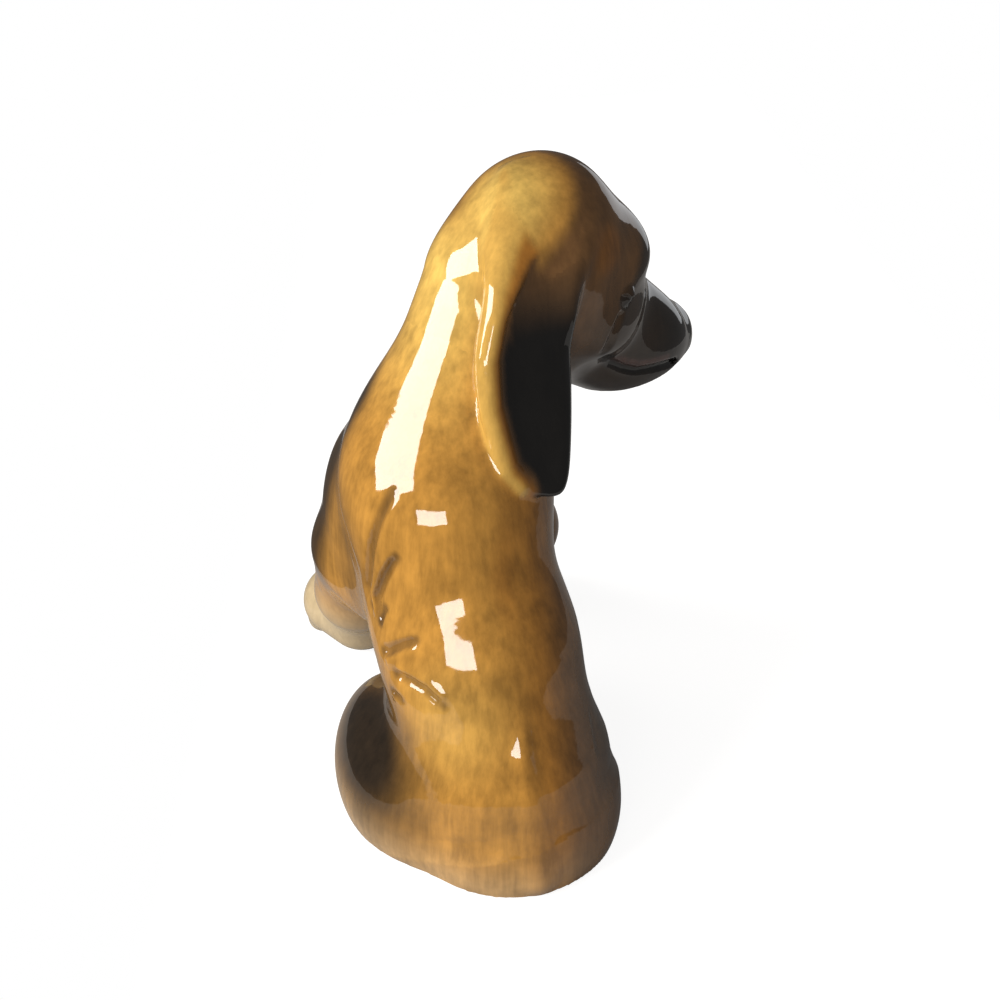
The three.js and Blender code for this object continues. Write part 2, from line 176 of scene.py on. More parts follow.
def tailField(p):
    gap, share = toLine(p, trunk["tail"]["line"])
    tail = trunk["tail"]
    return gap - (tail["startDiameter"] + share * (tail["endDiameter"] - tail["startDiameter"])) / 2


def foldDepth(p):
    # how far the folds push the skin in (positive) or stand it up
    depth = np.zeros(len(p))
    for fold in folds:
        line = np.array(fold["line"], float)
        low, high = line.min(0) - 8, line.max(0) + 8
        chosen = np.all((p > low) & (p < high), axis=1)
        if not chosen.any():
            continue
        q = p[chosen]
        gap, share = toLine(q, line)
        ends = smoothStep(share, 0, 0.12) * (1 - smoothStep(share, 0.88, 1)) * 0.8 + 0.2
        size = fold["depth"][0] + share * (fold["depth"][1] - fold["depth"][0])
        width = fold["width"][0] + share * (fold["width"][1] - fold["width"][0])
        push = size * ends * np.exp(-(gap / width) ** 2)
        gap, share = toLine(q, line + np.array(fold["offset"], float))
        push -= fold["ridge"] * ends * np.exp(-(gap / (1.3 * width)) ** 2)
        depth[chosen] += push
    return depth


# Head, in its own directions: forward along the nose, out to the dog's right, up through the crown

head = dict(
    place=(10.3, 20.1, 103.4), turn=56, bow=29,
    skull=dict(at=(-2.4, 0, 1.2), size=(30.8, 30.4, 34.9)),
    brow=dict(at=(12.5, 0, 4.4), size=(20.4, 25, 17.8)),
    cheeks=dict(at=(11.3, 0, -8.3), size=(29, 26.8, 19.6)),
    flew=dict(at=(33, 4.7, -12), size=(25, 10.4, 16.5)),
    muzzle=dict(root=(19.6, 0, -5.8), tip=(47, 0, -10.6), rootDiameter=20.2, tipDiameter=13.4),
    jaw=dict(root=(11.4, 0, -15), tip=(47, 0, -19.6), rootDiameter=12.4, tipDiameter=12),
    browBlend=8, cheekBlend=8, faceBlend=5, neckBlend=5,
    eye=dict(at=(10.6, 12.1, -1.4), diameter=4.4, socket=-0.6, socketBlend=1.6, ballBlend=0.4,
             lid=0.4, lidEdge=0.6, lidBlend=0.5),
    mouth=dict(line=[(13.5, 11.2, -13.3), (21.3, 8.7, -15.3), (25.3, 9, -15.9), (28.9, 9.5, -15.9),
                     (32.6, 9.9, -15), (36.7, 9.7, -14), (41, 8.6, -13.2), (45.5, 5.6, -13),
                     (48, 0, -12.8)],
               depth=1.3, width=0.8),
    cheekFold=dict(line=[(11, 13.6, -3.6), (10.4, 13.9, -5.6), (10.4, 13.7, -8.7), (11.9, 12.5, -11.8)],
                   depth=0.8, width=0.8),
    nose=dict(at=(46.2, 0, -7.8), size=(8.6, 10, 8), blend=2.5,
              nostril=(50, 2.6, -8.4), nostrilDiameter=2.2, nostrilBlend=0.8),
    lineFade=0.2,  # share of a line over which its groove deepens
    neckJoint=dict(point=(-1.5, 15, 86.6), tilt=42),
)
turn = math.radians(head["turn"])
bow = math.radians(head["bow"])
upright = np.array([0, 0, 1.0])
heading = np.array([math.sin(turn), math.cos(turn), 0])
rightward = np.cross(heading, upright)
facing = heading * math.cos(bow) - upright * math.sin(bow)
crown = np.cross(rightward, facing)
headAxes = np.array([facing, rightward, crown])


def inHead(at):
    return np.array(head["place"]) + np.asarray(at, float) @ headAxes


def headMass(p, mass, side=1):
    forward, out, up = mass["at"]
    return ellipsoid(p, inHead((forward, side * out, up)), mass["size"], headAxes)


def headTaper(p, mass):
    return taper(p, inHead(mass["root"]), inHead(mass["tip"]), mass["rootDiameter"], mass["tipDiameter"])


def headField(p):
    d = softMin(headMass(p, head["skull"]), headMass(p, head["brow"]), head["browBlend"])
    d = softMin(d, headMass(p, head["cheeks"]), head["cheekBlend"])
    d = softMin(d, headTaper(p, head["muzzle"]), head["faceBlend"])
    d = softMin(d, headTaper(p, head["jaw"]), head["faceBlend"])
    for side in (1, -1):
        d = softMin(d, headMass(p, head["flew"], side), head["faceBlend"])
    nose = head["nose"]
    d = softMin(d, ellipsoid(p, inHead(nose["at"]), nose["size"], headAxes), nose["blend"])
    mouth = head["mouth"]
    eye = head["eye"]
    for side in (1, -1):
        across = np.array([1, side, 1])
        gap, share = toLine(p, [inHead(np.array(at) * across) for at in mouth["line"]])
        groove = mouth["depth"] * np.exp(-(gap / mouth["width"]) ** 2)
        d = d + groove * smoothStep(share, 0, head["lineFade"])
        fold = head["cheekFold"]
        gap, share = toLine(p, [inHead(np.array(at) * across) for at in fold["line"]])
        groove = fold["depth"] * np.exp(-(gap / fold["width"]) ** 2)
        d = d + groove * smoothStep(share, 0, head["lineFade"])
        nostril = inHead(np.array(nose["nostril"]) * across)
        hole = np.linalg.norm(p - nostril, axis=1) - nose["nostrilDiameter"] / 2
        d = softMax(d, -hole, nose["nostrilBlend"])
        # eye: a socket with a ball in it, and a lid that comes down over the ball
        middle = inHead(np.array(eye["at"]) * across)
        ball = np.linalg.norm(p - middle, axis=1) - eye["diameter"] / 2
        d = softMax(d, -(ball - eye["socket"]), eye["socketBlend"])
        d = softMin(d, ball, eye["ballBlend"])
        lidded = np.maximum(ball - eye["lid"], eye["lidEdge"] - (p - middle) @ crown)
        d = softMin(d, lidded, eye["lidBlend"])
    return d


# Ears: a leaf that hangs from the skull and lies back along the neck. Along is towards the
# leaf's front edge, from a point beside the cheek; off is out of the leaf's outer face.

ears = dict(
    right=dict(side=1, backTurn=24, forward=-9, out=17.5, tilt=0.3, drop=0),
    left=dict(side=-1, backTurn=-6, forward=11, out=21, tilt=0.12, drop=8),
    outline=[(-6.5, 119), (-10.4, 114.9), (-14.5, 109), (-18.2, 97.9), (-18.7, 89.5), (-16.8, 77.5),
             (-14.2, 74.2), (-8, 71.6), (-4.2, 72.8), (-1.8, 80), (0.4, 92.4), (0.8, 104.8), (2.5, 110),
             (5, 115), (0, 119)],
    level=101.4, leanFrom=104, leanOver=14, lean=7,
    thickness=4.4, edge=1.8, hollow=1.4, hollowFrom=1, hollowTo=6,
    roll=4, rollFrom=-7.5, rollOver=7, rollFull=92, rollEnd=104,  # the front edge turns in below rollEnd
    rear=[(-6.5, 119), (-10.4, 114.9), (-14.5, 109), (-18.2, 97.9), (-18.7, 89.5), (-16.8, 77.5),
          (-14.5, 74.5)],
    rim=dict(line=[(-5, 119), (-9.2, 114), (-13, 108.5), (-16.6, 97.9), (-17.1, 89.5), (-15.5, 79),
                   (-13.5, 75.8)],
             diameter=3.8, blend=1.0, off=0.9),
    fold=dict(line=[(2.7, 118.5), (-1.2, 115.2), (-7.1, 111.9), (-10.3, 108.3), (-11.7, 106.3),
                    (-12.4, 103)],
              height=1.1, width=1.5, fadeFrom=0.7),
    lowJoin=1.5, highJoin=4.5, joinFrom=94, joinTo=108,  # the seam softens towards the leaf's root
    middle=98, middleBack=5, reach=(24, 24, 34),         # the box that holds a leaf
)


def roundOutline(points, steps=6):
    # a smooth closed curve through the points
    points = np.array(points, float)
    curve = []
    count = len(points)
    for i in range(count):
        a, b, c, d = (points[(i + k) % count] for k in (-1, 0, 1, 2))
        for t in np.arange(steps) / steps:
            curve.append(0.5 * (2 * b + (c - a) * t + (2 * a - 5 * b + 4 * c - d) * t ** 2
                                + (3 * b - a - 3 * c + d) * t ** 3))
    return np.array(curve)


def outlineDistance(q, curve):
    # signed gap to a closed curve in its plane
    best = np.full(len(q), far)
    inside = np.zeros(len(q), bool)
    for a, b in zip(curve, np.roll(curve, -1, axis=0)):
        edge = b - a
        t = np.clip((q - a) @ edge / (edge @ edge), 0, 1)
        best = np.minimum(best, np.linalg.norm(q - a - t[:, None] * edge, axis=1))
        crosses = (a[1] > q[:, 1]) != (b[1] > q[:, 1])
        slope = edge[0] / edge[1] if edge[1] else 0
        inside ^= crosses & (q[:, 0] < a[0] + (q[:, 1] - a[1]) * slope)
    return np.where(inside, -best, best)


earCurve = roundOutline(ears["outline"])


def earPlace(p, ear):
    outward = rightward * ear["side"]
    back = math.radians(ear["backTurn"])
    normal = outward * math.cos(back) - heading * math.sin(back)
    along = heading * math.cos(back) + outward * math.sin(back)
    beside = np.array([head["place"][0], head["place"][1], 0])
    root = beside + heading * ear["forward"] + outward * ear["out"]
    q = p - root
    z = p[:, 2] + ear["drop"]
    leaf = np.stack([q @ along, z], axis=1)
    over = np.clip((z - ears["leanFrom"]) / ears["leanOver"], 0, 1.4)
    rolled = np.clip((leaf[:, 0] - ears["rollFrom"]) / ears["rollOver"], 0, 1.5) ** 2
    rolled = rolled * (1 - smoothStep(z, ears["rollFull"], ears["rollEnd"]))
    off = q @ normal + ear["tilt"] * (z - ears["level"]) + ears["lean"] * over ** 2
    return leaf, off + ears["roll"] * rolled


def earField(p, ear):
    leaf, off = earPlace(p, ear)
    inLeaf = outlineDistance(leaf, earCurve)
    hollow = ears["hollow"] * smoothStep(-inLeaf, ears["hollowFrom"], ears["hollowTo"])
    face = off + hollow
    rounding = ears["edge"]
    a = inLeaf + rounding
    b = np.abs(face + ears["thickness"] / 2) - ears["thickness"] / 2 + rounding
    d = np.hypot(np.maximum(a, 0), np.maximum(b, 0)) + np.minimum(np.maximum(a, b), 0) - rounding
    rim = ears["rim"]
    place = np.column_stack([leaf, off])
    gap, share = toLine(place, [(a, z, rim["off"] - rim["diameter"] / 2) for a, z in rim["line"]])
    d = softMin(d, gap - rim["diameter"] / 2, rim["blend"])
    fold = ears["fold"]
    gap, share = toLine(leaf, fold["line"])
    ridge = fold["height"] * np.exp(-(gap / fold["width"]) ** 2)
    return d - ridge * (1 - smoothStep(share, fold["fadeFrom"], 1))


def earNear(p, ear):
    middle = np.array([head["place"][0], head["place"][1], ears["middle"]])
    middle = middle + heading * (ear["forward"] - ears["middleBack"]) + rightward * ear["side"] * ear["out"]
    return onlyNear(p, middle - ears["reach"], middle + ears["reach"], lambda q: earField(q, ear))


# Legs and feet

legs = dict(
    chestMiddle=-9, bellyMiddle=-8,
    elbow=dict(at=(15.5, 23.5, 41), diameter=18.6),
    forearm=dict(at=(15.5, 32, 23), diameter=16.6),
    wrist=dict(at=(14, 40.5, 10.5), diameter=14.4),
    pawHeel=dict(at=(14, 42, 7), diameter=14.6),
    pawBall=dict(at=(18, 46.8, 8.2), diameter=16),
    hindHeel=dict(at=(11, 2, 6), diameter=16),
    hindBall=dict(at=(8, 15, 5), diameter=12),
    toe=dict(count=4, fan=90, start=3, end=4.2, diameter=6, z=3.4, blend=1.1),
    legBlend=3, pawBlend=5, footJoin=4, legJoin=6,
)


def legTaper(p, start, end, middle, side):
    ends = [(middle + side * legs[name]["at"][0], *legs[name]["at"][1:]) for name in (start, end)]
    d = taper(p, *ends, legs[start]["diameter"], legs[end]["diameter"])
    return d, np.array(ends[0]), np.array(ends[1])


def footField(p, heel, ball, middle, side):
    d, start, end = legTaper(p, heel, ball, middle, side)
    ahead = end - start
    angle = math.atan2(ahead[1], ahead[0])
    toe = legs["toe"]
    for n in range(toe["count"]):
        turnOut = angle + (n / (toe["count"] - 1) - 0.5) * math.radians(toe["fan"])
        point = np.array([math.cos(turnOut), math.sin(turnOut), 0])
        root = np.array([end[0], end[1], toe["z"]])
        d = softMin(d, taper(p, root + point * toe["start"], root + point * toe["end"],
                             toe["diameter"], toe["diameter"]), toe["blend"])
    return d


def forelegField(p, side):
    upper = legTaper(p, "elbow", "forearm", legs["chestMiddle"], side)[0]
    lower = legTaper(p, "forearm", "wrist", legs["chestMiddle"], side)[0]
    d = softMin(upper, lower, legs["legBlend"])
    return softMin(d, footField(p, "pawHeel", "pawBall", legs["chestMiddle"], side), legs["pawBlend"])


def hindFootField(p, side):
    return footField(p, "hindHeel", "hindBall", legs["bellyMiddle"], side)


# boxes that hold the limbs, the head and the tail
limbLow = np.array([-48, -16, -6])
limbHigh = np.array([30, 72, 62])
headLow = np.array([-30, -25, 70])
headHigh = np.array([75, 65, 150])
tailLow = np.array([-20, -50, -6])
tailHigh = np.array([16, -18, 50])

# The whole figure

pieceOrder = ["body_casting", "head_casting", "right_ear", "left_ear",
              "right_foreleg", "left_foreleg", "right_hind_foot", "left_hind_foot"]


def castings(p):
    # distance to each casting's own mass
    return dict(
        body=trunkField(p),
        head=onlyNear(p, headLow, headHigh, headField),
        right_ear=earNear(p, ears["right"]),
        left_ear=earNear(p, ears["left"]),
        right_foreleg=onlyNear(p, limbLow, limbHigh, lambda q: forelegField(q, 1)),
        left_foreleg=onlyNear(p, limbLow, limbHigh, lambda q: forelegField(q, -1)),
        right_hind_foot=onlyNear(p, limbLow, limbHigh, lambda q: hindFootField(q, 1)),
        left_hind_foot=onlyNear(p, limbLow, limbHigh, lambda q: hindFootField(q, -1)),
    )


def figureField(p, mass=None):
    mass = mass or castings(p)
    d = softMin(mass["body"], mass["head"], head["neckBlend"])
    for side in ("right", "left"):
        d = softMin(d, mass[side + "_foreleg"], legs["legJoin"])
        d = softMin(d, mass[side + "_hind_foot"], legs["footJoin"])
    d = softMin(d, onlyNear(p, tailLow, tailHigh, tailField), trunk["tail"]["blend"])
    d = d + foldDepth(p)
    high = smoothStep(p[:, 2], ears["joinFrom"], ears["joinTo"])
    join = ears["lowJoin"] + (ears["highJoin"] - ears["lowJoin"]) * high
    for side in ("right", "left"):
        d = softMin(d, mass[side + "_ear"], join)
    vent = trunk["vent"]
    bore = np.hypot(p[:, 0] - vent["middle"][0], p[:, 1] - vent["middle"][1]) - vent["diameter"] / 2
    d = softMax(d, -np.maximum(bore, p[:, 2] - vent["depth"]), vent["blend"])
    return np.maximum(d, -p[:, 2])


# Skin: one vertex in each cell that the surface crosses, one face across each crossed cell edge

def skinned(low, high):
    count = np.ceil((np.asarray(high) - low) / skinCell / blockCells).astype(int)
    side = blockCells * skinCell
    blocks = np.stack(np.meshgrid(*[np.arange(n) for n in count], indexing="ij"), -1).reshape(-1, 3)
    middles = low + (blocks + 0.5) * side
    reach = side * 0.87 * 1.35 + 2  # half a block's diagonal, with room for uneven distances
    blocks = blocks[np.abs(figureField(middles)) < reach]
    values = np.full(count * blockCells + 1, far, np.float32)
    filled = np.zeros(values.shape, bool)
    inBlock = np.stack(np.meshgrid(*[np.arange(blockCells + 1)] * 3, indexing="ij"), -1).reshape(-1, 3)
    for start in range(0, len(blocks), blocksAtOnce):
        index = (blocks[start:start + blocksAtOnce, None, :] * blockCells + inBlock[None]).reshape(-1, 3)
        spots = tuple(index.T)
        values[spots] = figureField(low + index * skinCell)
        filled[spots] = True
    print(f"{len(blocks)} blocks sampled")

    inside = (values < 0) & filled
    size = np.array(values.shape)
    corners = [np.array(c) for c in np.ndindex(2, 2, 2)]
    views = [tuple(slice(c[i], size[i] - 1 + c[i]) for i in range(3)) for c in corners]
    total = sum(inside[v].astype(np.int8) for v in views)
    known = np.logical_and.reduce([filled[v] for v in views])
    crossed = (total > 0) & (total < 8) & known
    numbers = np.full(crossed.shape, -1, np.int64)
    cells = np.argwhere(crossed)
    numbers[crossed] = np.arange(len(cells))
    place = np.zeros((len(cells), 3))
    hits = np.zeros(len(cells))
    for a in corners:
        for axis in range(3):
            if a[axis]:
                continue
            b = a.copy()
            b[axis] = 1
            va = values[tuple((cells + a).T)].astype(float)
            vb = values[tuple((cells + b).T)].astype(float)
            cut = (va < 0) != (vb < 0)
            t = va[cut] / (va[cut] - vb[cut])
            place[cut] += a + t[:, None] * (b - a)
            hits[cut] += 1
    points = low + (cells + place / hits[:, None]) * skinCell

    faces = []
    for axis in range(3):
        u, v = np.roll(np.eye(3, dtype=int), -1 - axis, axis=0)[:2]
        step = np.eye(3, dtype=int)[axis]
        here = inside[tuple(slice(0, size[i] - step[i]) for i in range(3))]
        there = inside[tuple(slice(step[i], size[i]) for i in range(3))]
        edges = np.argwhere(here != there)
        edges = edges[np.all(edges >= 1, axis=1) | ((edges[:, axis] == 0) & (edges @ (u + v) > 1))]
        quad = np.stack([numbers[tuple((edges - shift).T)] for shift in (u + v, v, 0 * u, u)], axis=1)
        whole = np.all(quad >= 0, axis=1)
        flipped = ~inside[tuple(edges.T)]
        quad[flipped] = quad[flipped][:, ::-1]
        faces.append(quad[whole])
    return points, np.concatenate(faces)


def slopeAt(p, reach=0.12):
    slope = np.empty_like(p)
    for axis in range(3):
        step = np.zeros(3)
        step[axis] = reach
        slope[:, axis] = (figureField(p + step) - figureField(p - step)) / (2 * reach)
    return slope


def pulledOn(points):
    slope = slopeAt(points)
    move = figureField(points) / np.maximum((slope ** 2).sum(1), 0.25)
    move = np.clip(move, -skinCell / 2, skinCell / 2)
    return points - slope * move[:, None]


figureLow = np.array([-45.0, -48.0, -2.4])
figureHigh = np.array([66.0, 66.0, 134.0])
points, faces = skinned(figureLow, figureHigh)
print(f"skin: {len(points)} vertices, {len(faces)} faces")
onBase = points[:, 2] < 0.02
moved = pulledOn(points)
points[~onBase] = moved[~onBase]
normals = slopeAt(points)
normals /= np.linalg.norm(normals, axis=1)[:, None]
print("skin pulled on to the sculpt")


# Which casting each face belongs to

def pieceOf(p):
    mass = castings(p)
    limbs = np.stack([mass[name] for name in pieceOrder[2:]], axis=1)
    stem = np.minimum(mass["body"], mass["head"])
    nearest = limbs.argmin(1)
    joint = head["neckJoint"]
    tilt = math.radians(joint["tilt"])
    axis = upright * math.cos(tilt) + heading * math.sin(tilt)
    piece = np.where((p - np.array(joint["point"])) @ axis > 0, 1, 0)
    onLimb = limbs.min(1) < stem
    piece[onLimb] = nearest[onLimb] + 2
    return piece


def withoutIslands(piece):
    # a scrap that the split leaves inside another casting goes to the casting around it
    owner = np.tile(np.arange(len(faces)), 4)
    edges = np.sort(np.concatenate([faces[:, [i, (i + 1) % 4]] for i in range(4)]), axis=1)
    key = edges[:, 0] * len(points) + edges[:, 1]
    order = np.argsort(key, kind="stable")
    shared = key[order][1:] == key[order][:-1]
    pairs = np.stack([owner[order][:-1][shared], owner[order][1:][shared]], axis=1)
    together = pairs[piece[pairs[:, 0]] == piece[pairs[:, 1]]]
    label = np.arange(len(faces))
    changed = True
    while changed:
        lowest = np.minimum(label[together[:, 0]], label[together[:, 1]])
        follow = np.arange(len(faces))
        np.minimum.at(follow, label[together[:, 0]], lowest)
        np.minimum.at(follow, label[together[:, 1]], lowest)
        follow = follow[follow]
        changed = (follow[label] != label).any()
        label = follow[label]
    main = {np.bincount(label[piece == i]).argmax() for i in range(len(pieceOrder))}
    loose = ~np.isin(label, list(main))
    print(f"{loose.sum()} faces moved off islands")
    spreading = True
    while spreading:
        spreading = False
        for a, b in (pairs.T, pairs.T[::-1]):
            beside = loose[a] & ~loose[b]
            piece[a[beside]] = piece[b[beside]]
            loose[a[beside]] = False
            spreading |= beside.any()
    piece[loose] = -1  # a scrap that touches nothing is left out
    print(f"{loose.sum()} faces of loose scraps left out")
    return piece


facePiece = withoutIslands(pieceOf(points[faces].mean(1)))


# Glaze colours, painted point by point the way the sprayer and the brush laid them; some also carry painted
# light and shade

def linear(red, green, blue):
    c = np.array([red, green, blue]) / 255
    return np.where(c <= 0.04045, c / 12.92, ((c + 0.055) / 1.055) ** 2.4)


glaze = dict(
    gold=linear(182, 130, 56), yellow=linear(222, 182, 94), amber=linear(150, 94, 32),
    brown=linear(106, 74, 42), umber=linear(60, 46, 33), black=linear(22, 20, 18),
    beige=linear(198, 178, 142), lip=linear(92, 66, 60), bisque=linear(226, 218, 204),
)


def sprayed(p, middle, size, soft):
    # 1 in the middle of a sprayed patch, falling off towards its edge
    q = p - np.asarray(middle, float)
    r = np.linalg.norm(q / (np.asarray(size, float) / 2), axis=1)
    return 1 - smoothStep(r, 1 - soft, 1 + soft)


def brushed(p, line, width, soft):
    gap, share = toLine(p, line)
    return 1 - smoothStep(gap, width * (1 - soft), width * (1 + soft))


def lay(colour, name, amount):
    amount = np.clip(amount, 0, 1)[:, None]
    return colour * (1 - amount) + glaze[name] * amount


# Body colours: sprayed patches, brushed lines, and fades that run between two places
coat = dict(
    # crown: yellow glaze, made lighter still as a painted highlight where light falls on the top
    crown=dict(colour="yellow", amount=0.9, middle=(-2, 12, 116), size=(44, 40, 60), soft=0.7),
    rump=dict(colour="yellow", amount=0.3, middle=(-14, -24, 36), size=(16, 16, 20), soft=0.8),
    # amber and brown fade in towards the dog's right side: partly darker glaze, partly painted shade on the
    # side away from the light
    amberAndShadeSide=dict(colour="amber", amount=0.6, along=(-7, 3), top=(74, 88)),
    spine=dict(colour="amber", amount=0.5, line=[(-3.8, -9.3, 72.5), (-4.4, -15, 62), (-4, -19, 52)],
               width=2.4, soft=0.8),
    brownAndShadeSide=dict(colour="brown", amount=0.9, along=(0, 8.5), top=(66, 80)),
    # painted shade: umber where the surface faces forward, away from the light
    chestShade=dict(colour="umber", amount=0.6, along=(0.1, 0.8), top=(60, 84)),
    shoulder=dict(colour="black", amount=0.9, line=[(-24, 18, 80), (-29, 20, 66), (-34, 23, 42)],
                  width=6.5, soft=0.7),
    elbow=dict(colour="umber", amount=0.5, middle=(-27, 4, 52), size=(10, 14, 26), soft=0.8),
    leftHaunch=dict(colour="black", amount=0.97, middle=(-29, -9, 20), size=(20, 44, 32), soft=0.6),
    rightHaunch=dict(colour="umber", amount=0.85, middle=(16, -12, 22), size=(15, 36, 42), soft=0.6),
    rumpFoot=dict(amount=0.35, top=(1, 13), left=(-20, 10)),
    paw=dict(amount=0.9, seam=(-1, 2), top=(12, 34)),
    # fold: umber along each crease, partly dark glaze pooled there and partly painted crease shade
    fold=dict(amount=0.6, width=0.9, soft=0.8),
    bare=dict(facing=(0.7, 0.9), height=0.3, ventOver=1, ventShare=0.57),
)

# Head colours, over lengths along the nose, and how far the brown's slanting edge lies behind
headCoat = dict(
    neck=(-3, 3), edge=dict(back=8.2, slant=0.45, level=15.5),
    amber=dict(amount=0.7, edge=(-6, 0)), brown=dict(edge=(-1.2, 2.2)),
    temple=dict(amount=0.5, middle=(-0.9, 14.4, 6.4), size=(8, 8, 8), soft=0.5),
    jaw=dict(amount=0.8, down=(-4, 8), along=(-2, 10)),
    stop=dict(along=(9.5, 13)), snout=dict(amount=0.75, along=(14, 40)),
    mouth=dict(amount=0.9, width=1.3, soft=0.5),
    lip=dict(amount=0.8, lift=1.7, width=0.9, soft=0.5),
    eye=dict(amount=0.95, size=(5.6, 5.6, 5.6), soft=0.3),
)

# Ear colours, over the gap from the rear edge and the height up to which they reach
earCoat = dict(
    seam=(-0.7, 0.7), ridge=(-0.8, 1.4),
    yellow=dict(amount=0.5, gap=(1.2, 2.4)), amber=dict(amount=0.8, gap=(2, 3)),
    brown=dict(gap=(2.6, 4), top=(100, 108)), dark=dict(gap=(3.4, 5.2), top=(98, 104)),
    umber=dict(amount=0.7, top=(104, 114)), black=dict(top=(99, 108)),
)


def below(z, top):
    return 1 - smoothStep(z, *top)


def laidPatch(colour, p, name):
    patch = coat[name]
    if "line" in patch:
        cover = brushed(p, patch["line"], patch["width"], patch["soft"])
    else:
        cover = sprayed(p, patch["middle"], patch["size"], patch["soft"])
    return lay(colour, patch["colour"], patch["amount"] * cover)


def laidFade(colour, along, z, name):
    fade = coat[name]
    amount = fade["amount"] * smoothStep(along, *fade["along"]) * below(z, fade["top"])
    return lay(colour, fade["colour"], amount)


def paintedBody(colour, p, n, mass, stem):
    x, y, z = p.T
    # the crown and the nape are lightest, partly yellow glaze and partly a painted highlight on the lit top;
    # the right flank is brown, partly painted shade
    colour = laidPatch(colour, p, "crown")
    colour = laidPatch(colour, p, "rump")
    # the right side turns amber and then brown: darker glaze and painted shade together
    colour = laidFade(colour, x, z, "amberAndShadeSide")
    colour = laidPatch(colour, p, "spine")
    colour = laidFade(colour, x, z, "brownAndShadeSide")
    # painted shade on the surfaces that face forward
    colour = laidFade(colour, n[:, 1], z, "chestShade")
    # black was sprayed along the left shoulder and on both haunches
    for name in ("shoulder", "elbow", "leftHaunch", "rightHaunch"):
        colour = laidPatch(colour, p, name)
    # the feet and the foot of the rump fade to beige
    foot = coat["rumpFoot"]
    colour = lay(colour, "beige", foot["amount"] * below(z, foot["top"]) * smoothStep(-x, *foot["left"]))
    paw = coat["paw"]
    for side in ("right", "left"):
        fore = smoothStep(stem - mass[side + "_foreleg"], *paw["seam"]) * below(z, paw["top"])
        hind = smoothStep(stem - mass[side + "_hind_foot"], *paw["seam"])
        colour = lay(colour, "beige", paw["amount"] * np.maximum(fore, hind))
    # umber along each fold: dark glaze pooled in the crease, and painted shade in it
    line = coat["fold"]
    for fold in folds:
        colour = lay(colour, "umber", line["amount"] * brushed(p, fold["line"], line["width"], line["soft"]))
    return colour


def paintedHead(colour, p, mass):
    # gold behind the ears, brown before them, and black from the stop to the nose
    q = (p - np.array(head["place"])) @ headAxes.T
    onHead = smoothStep(mass["body"] - mass["head"], *headCoat["neck"])
    edge = headCoat["edge"]
    pastEdge = q[:, 0] + edge["back"] + edge["slant"] * (edge["level"] - q[:, 2])
    amber = headCoat["amber"]
    colour = lay(colour, "amber", amber["amount"] * onHead * smoothStep(pastEdge, *amber["edge"]))
    colour = lay(colour, "brown", onHead * smoothStep(pastEdge, *headCoat["brown"]["edge"]))
    temple = headCoat["temple"]
    cover = sprayed(q, temple["middle"], temple["size"], temple["soft"])
    colour = lay(colour, "amber", temple["amount"] * onHead * cover)
    jaw = headCoat["jaw"]
    amount = jaw["amount"] * onHead * smoothStep(-q[:, 2], *jaw["down"]) * smoothStep(q[:, 0], *jaw["along"])
    colour = lay(colour, "umber", amount)
    colour = lay(colour, "umber", onHead * smoothStep(q[:, 0], *headCoat["stop"]["along"]))
    snout = headCoat["snout"]
    colour = lay(colour, "black", snout["amount"] * onHead * smoothStep(q[:, 0], *snout["along"]))
    mouthLine = [inHead(np.array(at)) for at in head["mouth"]["line"]]
    mouth = headCoat["mouth"]
    colour = lay(colour, "black", mouth["amount"] * brushed(p, mouthLine, mouth["width"], mouth["soft"]))
    lip = headCoat["lip"]
    cover = brushed(p - crown * lip["lift"], mouthLine[1:6], lip["width"], lip["soft"])
    colour = lay(colour, "lip", lip["amount"] * cover)
    eye = headCoat["eye"]
    for side in (1, -1):
        eyeAt = inHead(np.array(head["eye"]["at"]) * (1, side, 1))
        colour = lay(colour, "black", eye["amount"] * sprayed(p, eyeAt, eye["size"], eye["soft"]))
    return colour


def paintedEar(colour, p, mass, stem, name):
    # a gold rim behind, a brown band and a black face
    z = p[:, 2]
    leaf, off = earPlace(p, ears[name])
    onEar = smoothStep(stem - mass[name + "_ear"], *earCoat["seam"])
    rear, share = toLine(leaf, ears["rear"])
    ridge = np.array(ears["fold"]["line"][::-1])
    pastRidge = leaf[:, 0] - np.interp(leaf[:, 1], ridge[:, 1], ridge[:, 0])
    pastRidge = smoothStep(pastRidge, *earCoat["ridge"])
    yellow, amber, brown, dark, umber, black = (
        earCoat[key] for key in ("yellow", "amber", "brown", "dark", "umber", "black"))
    leather = np.tile(glaze["gold"], (len(p), 1))
    leather = lay(leather, "yellow", yellow["amount"] * (1 - smoothStep(rear, *yellow["gap"])))
    leather = lay(leather, "amber", amber["amount"] * smoothStep(rear, *amber["gap"]))
    band = np.maximum(below(z, brown["top"]), pastRidge)
    leather = lay(leather, "brown", smoothStep(rear, *brown["gap"]) * band)
    face = smoothStep(rear, *dark["gap"]) * np.maximum(pastRidge, below(z, dark["top"]))
    leather = lay(leather, "umber", umber["amount"] * face * below(z, umber["top"]))
    leather = lay(leather, "black", face * below(z, black["top"]))
    return colour * (1 - onEar[:, None]) + leather * onEar[:, None]


